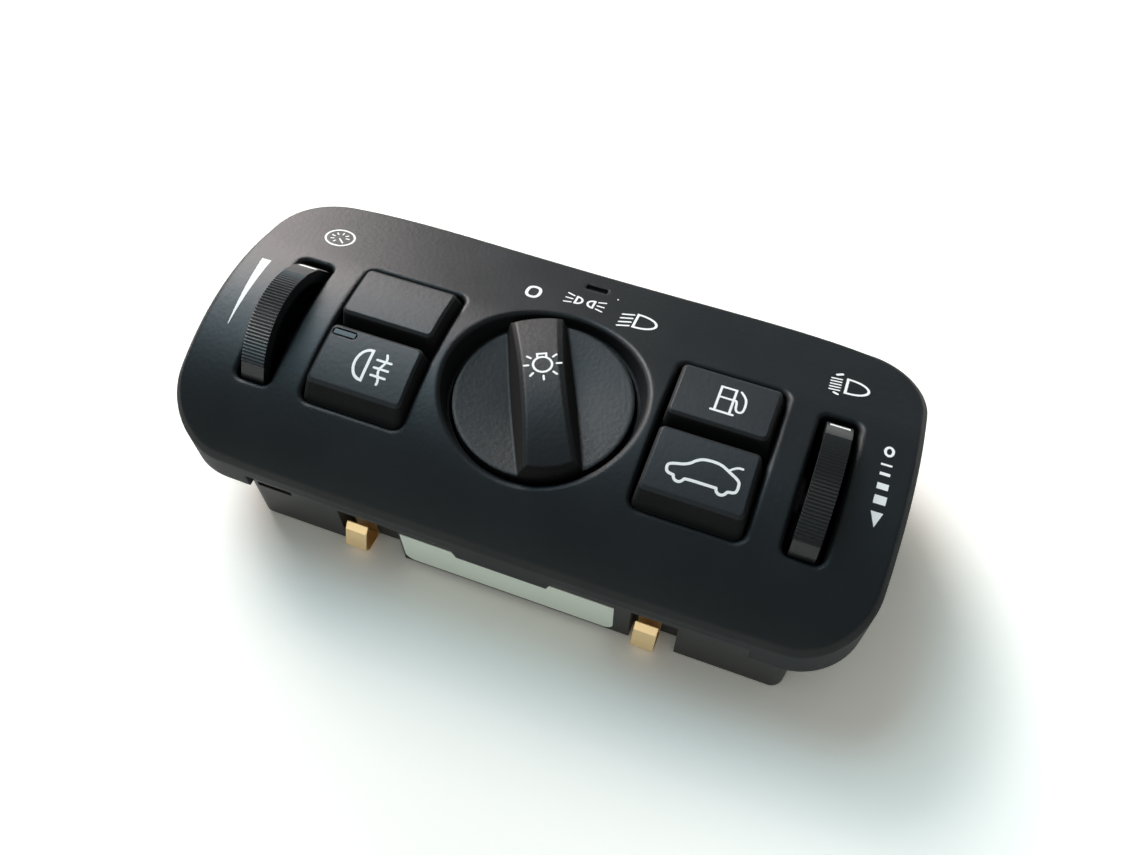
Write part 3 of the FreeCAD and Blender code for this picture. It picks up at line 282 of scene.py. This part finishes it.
black_foam = plastic("black foam", colour=(0.006, 0.006, 0.006), light=(0.012, 0.012, 0.012),
                     roughness=0.85, per_metre=2600.0, depth=1.0, edge=0.0, specular=0.2)


def between(start, stop, share):
    return start + (stop - start) * share


pod_route = [(between(POD_INNER_X, POD_OUTER_X, n / 3), POD_LOW) for n in range(4)]
pod_route += [(POD_OUTER_X, between(POD_LOW, POD_HIGH, n / 14)) for n in range(1, 14)]
pod_route += [(between(POD_OUTER_X, POD_INNER_X, n / 3), POD_HIGH) for n in range(4)]
wall_route = [(WALL_X, between(WALL_LOW, WALL_HIGH, n / 14)) for n in range(15)]
for name, route in (("pod_light_seal", pod_route), ("right_light_seal", wall_route)):
    seal = bmesh.new()
    rows = []
    for n, (x, y) in enumerate(route):
        px, py = route[max(n - 1, 0)]
        qx, qy = route[min(n + 1, len(route) - 1)]
        side = Vector((qy - py, px - qx)).normalized() * STRIP / 2
        top = face_height(y) - PANEL_WALL
        rows.append([seal.verts.new(Vector(spot) / 1000)
                     for spot in ((x - side.x, y - side.y, RIM), (x + side.x, y + side.y, RIM),
                                  (x + side.x, y + side.y, top), (x - side.x, y - side.y, top))])
    for near, far in zip(rows, rows[1:]):
        for k in range(4):
            seal.faces.new((near[k], near[(k + 1) % 4], far[(k + 1) % 4], far[k]))
    seal.faces.new(rows[0])
    seal.faces.new(rows[-1])
    bmesh.ops.recalc_face_normals(seal, faces=seal.faces)
    place_piece(name, seal, black_foam, "housing")

# --- Bezel -----------------------------------------------------------------
# The crowned front panel, one moulding in soft-touch black with a fine, even grain,
# rubbed smoother at its edges. It snaps over the housing with tongues at its low edge.
# Painted shade from the flank setting darkens its steeper faces, the lips and sides most.
bezel_black = plastic("bezel soft black", colour=(0.0020, 0.0050, 0.0075),
                      light=(0.0042, 0.0086, 0.0125), roughness=0.32, depth=0.45, edge=0.0011,
                      flank_shade=0.6, specular=0.45)
dress(["bezel"], bezel_black)
smoked_lens = plastic("smoked lens", colour=(0.009, 0.010, 0.011), light=(0.014, 0.015, 0.016),
                      roughness=0.16, per_metre=2500.0, depth=0.08, edge=0.0002)
dress(["status_window"], smoked_lens)

# --- Symbols printed on the bezel ------------------------------------------
# White pad print, a few hundredths of a millimetre proud of the face. Every stroke
# is a ribbon with round ends, laid on the crown.


def ellipse(cx, cy, rx, ry, start=0.0, stop=360.0, count=28):
    """Points round an ellipse, or along a part of it, given in degrees."""
    steps = [math.radians(start + (stop - start) * n / count) for n in range(count + 1)]
    points = [(cx + rx * math.cos(a), cy + ry * math.sin(a)) for a in steps]
    return points[:-1] if stop - start == 360.0 else points


def rounded(points, closed=True, times=2):
    """Cuts the corners of an outline, so that it runs in a smooth curve."""
    for _ in range(times):
        pairs = list(zip(points, points[1:] + (points[:1] if closed else [])))
        pairs = pairs if closed else pairs[:len(points) - 1]
        cut = []
        for (ax, ay), (bx, by) in pairs:
            cut += [(ax * 0.75 + bx * 0.25, ay * 0.75 + by * 0.25),
                    (ax * 0.25 + bx * 0.75, ay * 0.25 + by * 0.75)]
        points = cut if closed else [points[0]] + cut[1:-1] + [points[-1]]
    return points


def lamp_outline(x, y, length, height, way=1):
    """The D of a lamp symbol: flat side at x, bulging along way."""
    top, points = height / 2, []
    for n in range(17):
        angle = math.radians(90 - 180 * n / 16)
        points.append((x + way * length * math.cos(angle) ** 0.9 if n not in (0, 16) else x,
                       y + top * math.sin(angle)))
    return points


def ribbon(mesh, line, width, closed, lift):
    """Adds one stroke of this width along line to the bmesh."""
    dense = []
    pairs = list(zip(line, line[1:] + (line[:1] if closed else [])))
    for (ax, ay), (bx, by) in pairs[:len(line) if closed else len(line) - 1]:
        steps = max(1, int(math.hypot(bx - ax, by - ay) / 0.8))
        dense += [(ax + (bx - ax) * n / steps, ay + (by - ay) * n / steps) for n in range(steps)]
    if not closed:
        dense.append(line[-1])
    count = len(dense)
    sides = []
    for n, (x, y) in enumerate(dense):
        px, py = dense[n - 1] if n or closed else dense[n]
        qx, qy = dense[(n + 1) % count] if n < count - 1 or closed else dense[n]
        a = Vector((x - px, y - py)) if (px, py) != (x, y) else Vector((qx - x, qy - y))
        b = Vector((qx - x, qy - y)) if (qx, qy) != (x, y) else Vector((x - px, y - py))
        a.normalize()
        b.normalize()
        normal = Vector((-a.y - b.y, a.x + b.x))
        normal.normalize()
        reach = width / 2 / max(0.5, normal.dot(Vector((-a.y, a.x))))
        sides.append([(x + normal.x * reach * s, y + normal.y * reach * s) for s in (1, -1)])
    verts = [[mesh.verts.new(lift(*point)) for point in pair] for pair in sides]
    for n in range(count if closed else count - 1):
        (a, b), (c, d) = verts[n], verts[(n + 1) % count]
        mesh.faces.new((a, b, d, c))
    if closed:
        return
    for n, turn in ((0, 1), (count - 1, -1)):
        x, y = dense[n]
        nx, ny = (sides[n][0][0] - x) * turn, (sides[n][0][1] - y) * turn
        rim = [verts[n][0] if turn == 1 else verts[n][1]]
        for k in range(1, 6):
            angle = math.pi * k / 6
            rim.append(mesh.verts.new(lift(x + nx * math.cos(angle) - ny * math.sin(angle),
                                           y + ny * math.cos(angle) + nx * math.sin(angle))))
        rim.append(verts[n][1] if turn == 1 else verts[n][0])
        mesh.faces.new(rim)


def symbol(name, body, lift, strokes=(), fills=()):
    """One printed symbol from strokes (points, width, closed) and filled outlines."""
    mesh = bmesh.new()
    for line, width, closed in strokes:
        ribbon(mesh, line, width, closed, lift)
    for outline in fills:
        mesh.faces.new([mesh.verts.new(lift(*point)) for point in outline])
    for face in mesh.faces:
        face.normal_update()
        if face.normal.z < 0:
            face.normal_flip()
    place_piece(name, mesh, white_print, body)


def on_face(x, y):
    """A spot on the bezel's face, from millimetres to metres."""
    return Vector((x, y, face_height(y) + PRINT)) / 1000


# off: a plain 0
ZERO_X, ZERO_Y = -13.1, 24.7
symbol("off_mark", "housing", on_face,
       [(rounded([(ZERO_X - 1.55, ZERO_Y - 1.9), (ZERO_X + 1.55, ZERO_Y - 1.9),
                  (ZERO_X + 1.55, ZERO_Y + 1.9), (ZERO_X - 1.55, ZERO_Y + 1.9)], times=3),
         0.78, True)])

# position lamps: two small lamps back to back, each with three rays
PAIR_X, PAIR_Y = -0.65, 26.25
strokes = []
for side in (-1, 1):
    strokes.append((lamp_outline(PAIR_X + side * 2.2, PAIR_Y, 1.5, 2.5, -side), 0.55, True))
    for level, rise in ((1.3, 0.5), (0.0, 0.0), (-1.3, -0.4)):
        strokes.append(([(PAIR_X + side * 3.1, PAIR_Y + level),
                         (PAIR_X + side * 4.75, PAIR_Y + level + rise)], 0.42, False))
symbol("position_lamp_mark", "housing", on_face, strokes)

# dipped beam: lamp with four rays that slope down
BEAM_X, BEAM_Y = 12.45, 25.0
strokes = [(lamp_outline(BEAM_X, BEAM_Y, 5.0, 4.8), 0.62, True)]
for n in range(4):
    strokes.append(([(BEAM_X - 0.95, BEAM_Y + 1.85 - 1.43 * n),
                     (BEAM_X - 3.55, BEAM_Y + 1.0 - 1.48 * n)], 0.5, False))
symbol("dipped_beam_mark", "housing", on_face, strokes)

# panel lighting: ring with short dashes inside it and a needle, and its wedge
DIAL_X, DIAL_Y = -63.9, 23.7
strokes = [(ellipse(DIAL_X, DIAL_Y, 3.6, 3.15), 0.5, True)]
for angle in (90, 50, 10, 130, 170, 210, 250):
    a = math.radians(angle)
    strokes.append(([(DIAL_X + 1.55 * math.cos(a), DIAL_Y + 1.4 * math.sin(a)),
                     (DIAL_X + 2.3 * math.cos(a), DIAL_Y + 2.0 * math.sin(a))], 0.34, False))
strokes.append(([(DIAL_X + 0.1, DIAL_Y - 0.4), (DIAL_X + 1.5, DIAL_Y - 1.6)], 0.4, False))
symbol("panel_light_mark", "housing", on_face, strokes)
WEDGE_HIGH, WEDGE_LOW = 9.0, -10.8
left = [(between(-76.4, -74.55, n / 8), between(WEDGE_HIGH, WEDGE_LOW, n / 8)) for n in range(9)]
right = [(between(-73.95, -74.4, n / 8), between(WEDGE_HIGH, WEDGE_LOW, n / 8)) for n in range(9)]
strips = [[left[n], right[n], right[n + 1], left[n + 1]] for n in range(8)]
symbol("brightness_wedge", "housing", on_face, fills=strips)

# beam height: lamp with level bars between two slanted blocks, and its scale
LAMP_X, LAMP_Y = 62.7, 23.75
strokes = [(lamp_outline(LAMP_X, LAMP_Y, 5.0, 4.8), 0.62, True)]
for n in range(5):
    strokes.append(([(LAMP_X - 3.6, LAMP_Y + 1.45 - 0.97 * n),
                     (LAMP_X - 1.3, LAMP_Y + 1.7 - 0.97 * n)], 0.42, False))
strokes.append(([(LAMP_X - 2.6, LAMP_Y + 2.95), (LAMP_X - 1.5, LAMP_Y + 3.55)], 0.7, False))
strokes.append(([(LAMP_X - 2.4, LAMP_Y - 3.25), (LAMP_X - 1.5, LAMP_Y - 3.55)], 0.6, False))
symbol("beam_height_mark", "housing", on_face, strokes)
fills = []
for x, y, thick, wide in ((74.75, 4.1, 0.5, 2.4), (74.85, 1.75, 0.75, 2.2),
                          (75.0, -1.3, 1.5, 2.4), (75.15, -4.5, 2.0, 2.6)):
    fills.append([(x - wide / 2, y - thick / 2), (x + wide / 2, y - thick / 2),
                  (x + wide / 2, y + thick / 2), (x - wide / 2, y + thick / 2)])
fills.append([(73.9, -7.3), (76.5, -7.3), (75.3, -10.7)])
symbol("beam_height_scale", "housing", on_face,
       [(ellipse(74.7, 7.7, 0.85, 1.15, count=20), 0.6, True)], fills)

# a small dot beside the status window
symbol("sensor_dot", "housing", on_face, fills=[ellipse(6.2, 30.6, 0.22, 0.22, count=12)])

# --- Push buttons ----------------------------------------------------------
# Drafted black caps with soft edges, pushed on their stems through the bezel. The upper
# left one is a fixed blank. The others have white print, and one a smoked indicator.
# Painted shade from the flank setting darkens their drafted sides.
cap_black = plastic("cap soft black", colour=(0.0100, 0.0140, 0.0185),
                    light=(0.0150, 0.0205, 0.0265), roughness=0.39, depth=0.6, flank_shade=0.95,
                    specular=0.48)
dress(["blank_cap", "fog_button", "fuel_button", "boot_button"], cap_black)
dress(["fog_indicator"], smoked_lens)
CAP_LIFT = 2.6


def on_cap(x, y):
    """A spot on a cap's crown, which follows the face's arc at a larger radius."""
    crown = FACE_APEX - FACE_RADIUS + math.sqrt((FACE_RADIUS + CAP_LIFT) ** 2 - y ** 2)
    return Vector((x, y, crown + PRINT)) / 1000


# rear fog lamp: lamp with three bars crossed by a wave
FOG_X, FOG_Y = -38.1, -11.65
strokes = [(lamp_outline(FOG_X, FOG_Y, 3.0, 7.3, -1), 0.66, True),
           ([(FOG_X + 3.4 + 0.42 * math.sin(math.radians(t * 2.0)), FOG_Y + 3.6 - 7.2 * t / 240)
             for t in range(0, 241, 12)], 0.58, False)]
for level in (1.9, 0.0, -1.85):
    strokes.append(([(FOG_X + 1.7, FOG_Y + level), (FOG_X + 5.1, FOG_Y + level)], 0.56, False))
symbol("fog_mark", "fog_button", on_cap, strokes)

# fuel flap: a pump with its hose
PUMP_X, PUMP_Y = 36.3, 3.1
strokes = [([(PUMP_X + 0.8, PUMP_Y), (PUMP_X + 0.8, PUMP_Y + 6.8), (PUMP_X + 4.1, PUMP_Y + 6.8),
             (PUMP_X + 4.1, PUMP_Y)], 0.56, False),
           ([(PUMP_X, PUMP_Y), (PUMP_X + 4.9, PUMP_Y)], 0.56, False),
           ([(PUMP_X + 0.8, PUMP_Y + 3.9), (PUMP_X + 4.1, PUMP_Y + 3.9)], 0.52, False),
           (rounded([(PUMP_X + 4.2, PUMP_Y + 4.0), (PUMP_X + 4.9, PUMP_Y + 3.9),
                     (PUMP_X + 5.1, PUMP_Y + 1.3), (PUMP_X + 6.2, PUMP_Y + 1.0),
                     (PUMP_X + 6.9, PUMP_Y + 1.8), (PUMP_X + 6.8, PUMP_Y + 5.0),
                     (PUMP_X + 5.2, PUMP_Y + 6.7)], closed=False), 0.54, False)]
symbol("fuel_mark", "fuel_button", on_cap, strokes)

# boot: a car's outline with its lid open
SILL, FRONT_AXLE, REAR_AXLE = -14.2, 34.8, 44.0
car = [(31.8, -13.3), (31.8, -12.4), (32.6, -11.9), (35.8, -11.2), (37.6, -9.4), (39.6, -8.9),
       (42.4, -9.0), (44.1, -9.9), (46.7, -11.2), (47.1, -12.0), (47.1, -13.5), (46.6, -14.1),
       (45.3, SILL)]
car += ellipse(REAR_AXLE, SILL, 1.15, 1.1, 0, -180, 8)[1:]
car += [(42.6, SILL), (36.2, SILL)]
car += ellipse(FRONT_AXLE, SILL, 1.15, 1.1, 0, -180, 8)[1:]
car += [(33.2, SILL), (32.2, -14.0)]
strokes = [(rounded(car), 0.64, True),
           (rounded([(44.1, -9.9), (45.2, -9.0), (46.0, -8.6), (46.9, -8.6)], closed=False),
            0.5, False)]
symbol("boot_mark", "boot_button", on_cap, strokes)

# --- Knob ------------------------------------------------------------------
# A round moulding in satin black with a dished front and a grip bar across it. It
# pushes on the nylon shaft, and the bar carries the lamp symbol in white print.
# Painted shade from the flank setting darkens its steep faces, such as the grip bar's sides.
knob_black = plastic("knob satin black", colour=(0.0060, 0.0085, 0.0105),
                     light=(0.0098, 0.0128, 0.0152), roughness=0.32, depth=0.6, edge=0.0008,
                     flank_shade=1.0, specular=0.34)
dress(["knob"], knob_black)
KNOB_Y, BAR_TOP, BAR_RADIUS = -2.6, 42.2, 62.0
BAR_TURN = math.radians(25.5)


def on_grip(u, v):
    """A spot on the bar's arched top: u across and v along the bar, in millimetres."""
    z = BAR_TOP - BAR_RADIUS + math.sqrt(BAR_RADIUS ** 2 - v ** 2) + PRINT
    x = u * math.cos(BAR_TURN) - v * math.sin(BAR_TURN)
    y = u * math.sin(BAR_TURN) + v * math.cos(BAR_TURN) + KNOB_Y
    return Vector((x, y, z)) / 1000


BULB_U, BULB_V, BULB_RADIUS = 0.35, 4.6, 2.1
RAY_START, RAY_END = 3.15, 4.15
strokes = [(ellipse(BULB_U, BULB_V, BULB_RADIUS, BULB_RADIUS), 0.52, True),
           ([(BULB_U - 1.0, BULB_V + 2.1), (BULB_U - 1.0, BULB_V + 3.1),
             (BULB_U + 1.0, BULB_V + 3.1), (BULB_U + 1.0, BULB_V + 2.1)], 0.5, False)]
for angle in (-90, -45, -135, 0, 180, 38, 142):
    a = math.radians(angle)
    strokes.append(([(BULB_U + RAY_START * math.cos(a), BULB_V + RAY_START * math.sin(a)),
                     (BULB_U + RAY_END * math.cos(a), BULB_V + RAY_END * math.sin(a))],
                    0.5, False))
symbol("lamp_mark", "knob", on_grip, strokes)

# --- Table top -------------------------------------------------------------
# A smooth, pale table top that keeps the switch's shadow. Seen by the camera or in gloss it is
# paler, and painted light makes it paler still to the right, lightening the shadow there; further
# out it fades to white.
TABLE_REACH, TABLE_Z = 3, -0.0002
table_mesh = bpy.data.meshes.new("table_top")
table_mesh.from_pydata([(-TABLE_REACH, -TABLE_REACH, TABLE_Z), (TABLE_REACH, -TABLE_REACH, TABLE_Z),
                        (TABLE_REACH, TABLE_REACH, TABLE_Z), (-TABLE_REACH, TABLE_REACH, TABLE_Z)],
                       [], [(0, 1, 2, 3)])
table_top = bpy.data.objects.new("table_top", table_mesh)
bpy.context.scene.collection.objects.link(table_top)
pale = bpy.data.materials.new("pale table")
pale.use_nodes = True
tree = pale.node_tree
path = node(tree, "LightPath").outputs
seen = maths(tree, "MAXIMUM", maths(tree, "MAXIMUM", path["Is Camera Ray"],
                                    path["Is Glossy Ray"]), path["Is Transmission Ray"])
place = node(tree, "TexCoord").outputs["Object"]
cloud = node(tree, "TexNoise", [("Vector", place)], in_Scale=9.0, in_Detail=5.0).outputs["Fac"]
shade = node(tree, "Mix", [(0, cloud)], data_type="RGBA")
shade.inputs[6].default_value = (0.93, 0.905, 0.86, 1)
shade.inputs[7].default_value = (0.955, 0.93, 0.885, 1)
distance = node(tree, "VectorMath", [(0, place)], operation="LENGTH").outputs["Value"]
fade = maths(tree, "MULTIPLY", smooth_step(tree, distance, 0.2, 0.7), seen)
# Painted light: the whitening grows towards +x and lightens the switch's shadow on the right.
along = node(tree, "SeparateXYZ", [(0, place)]).outputs["X"]
whitening_and_painted_light = maths(tree, "MULTIPLY", seen, smooth_step(tree, along, 0.0, 0.2, 0.38, 1.0))
strength = maths(tree, "MULTIPLY", maths(tree, "ADD", 1.0, whitening_and_painted_light),
                 maths(tree, "SUBTRACT", 1.0, fade))
table_colour = node(tree, "VectorMath", [(0, shade.outputs[2]), (3, strength)],
                    operation="SCALE").outputs[0]
shader = tree.nodes["Principled BSDF"]
shader.inputs["Roughness"].default_value = 0.7
shader.inputs["Specular IOR Level"].default_value = 0.1
shader.inputs["Emission Color"].default_value = (1.0, 1.0, 1.0, 1)
tree.links.new(table_colour, shader.inputs["Base Color"])
tree.links.new(fade, shader.inputs["Emission Strength"])
table_mesh.materials.append(pale)

# --- Light -----------------------------------------------------------------
# Daylight in a room: a large soft window behind and to the left, a weaker, bluer patch
# of sky above it, a little light thrown back from the front, and pale walls all round.


def area_light(name, place, target, width, height, power, colour):
    """A soft rectangular light in metres and watts, turned to its target."""
    light = bpy.data.lights.new(name, "AREA")
    light.shape = "RECTANGLE"
    light.size = width
    light.size_y = height
    light.energy = power
    light.color = colour
    made = bpy.data.objects.new(name, light)
    made.location = place
    made.rotation_euler = (Vector(target) - Vector(place)).to_track_quat("-Z", "Y").to_euler()
    bpy.context.scene.collection.objects.link(made)


area_light("window", place=(-0.73, 0.72, 0.57), target=(0.0, 0.0, 0.03), width=0.62, height=0.85,
           power=15.0, colour=(1.0, 0.91, 0.88))
area_light("sky", place=(-0.84, 0.52, 1.42), target=(0.0, 0.0, 0.03), width=0.95, height=0.9,
           power=10.5, colour=(0.58, 0.86, 1.0))
area_light("front", place=(-0.3, -1.3, 0.33), target=(0.0, 0.0, 0.02), width=0.9, height=0.4,
           power=2.4, colour=(0.96, 1.0, 0.96))
world = bpy.data.worlds.new("room")
world.use_nodes = True
air = world.node_tree
room = air.nodes["Background"]
room.inputs["Color"].default_value = (0.91, 0.95, 0.90, 1)
room.inputs["Strength"].default_value = 0.26
plain_white = node(air, "Background", in_Color=(1.0, 1.0, 1.0, 1), in_Strength=1.0)
walls = node(air, "MixShader", [(0, node(air, "LightPath").outputs["Is Camera Ray"]),
                                (1, room.outputs[0]), (2, plain_white.outputs[0])])
air.links.new(walls.outputs[0], air.nodes["World Output"].inputs["Surface"])
bpy.context.scene.world = world
bpy.context.scene.view_settings.view_transform = "Standard"

# --- Camera ----------------------------------------------------------------
# It stands in front of the panel and a little to the right, 23 cm above the table, and
# looks down to the left, as the photograph was taken.
lens = bpy.data.cameras.new("camera")
lens.sensor_fit = "HORIZONTAL"
lens.sensor_width = 36.0
lens.lens = 33.56
lens.clip_start = 0.01
camera = bpy.data.objects.new("camera", lens)
camera_place = (0.05196, -0.12083, 0.23474)
right = Vector((0.93661, 0.35031, -0.00651))
down = Vector((0.29612, -0.80138, -0.51972))
ahead = Vector((-0.18728, 0.48484, -0.85431))
turn = Matrix((right, -down, -ahead)).transposed()
camera.matrix_world = Matrix.Translation(camera_place) @ turn.to_4x4()
bpy.context.scene.collection.objects.link(camera)
bpy.context.scene.camera = camera
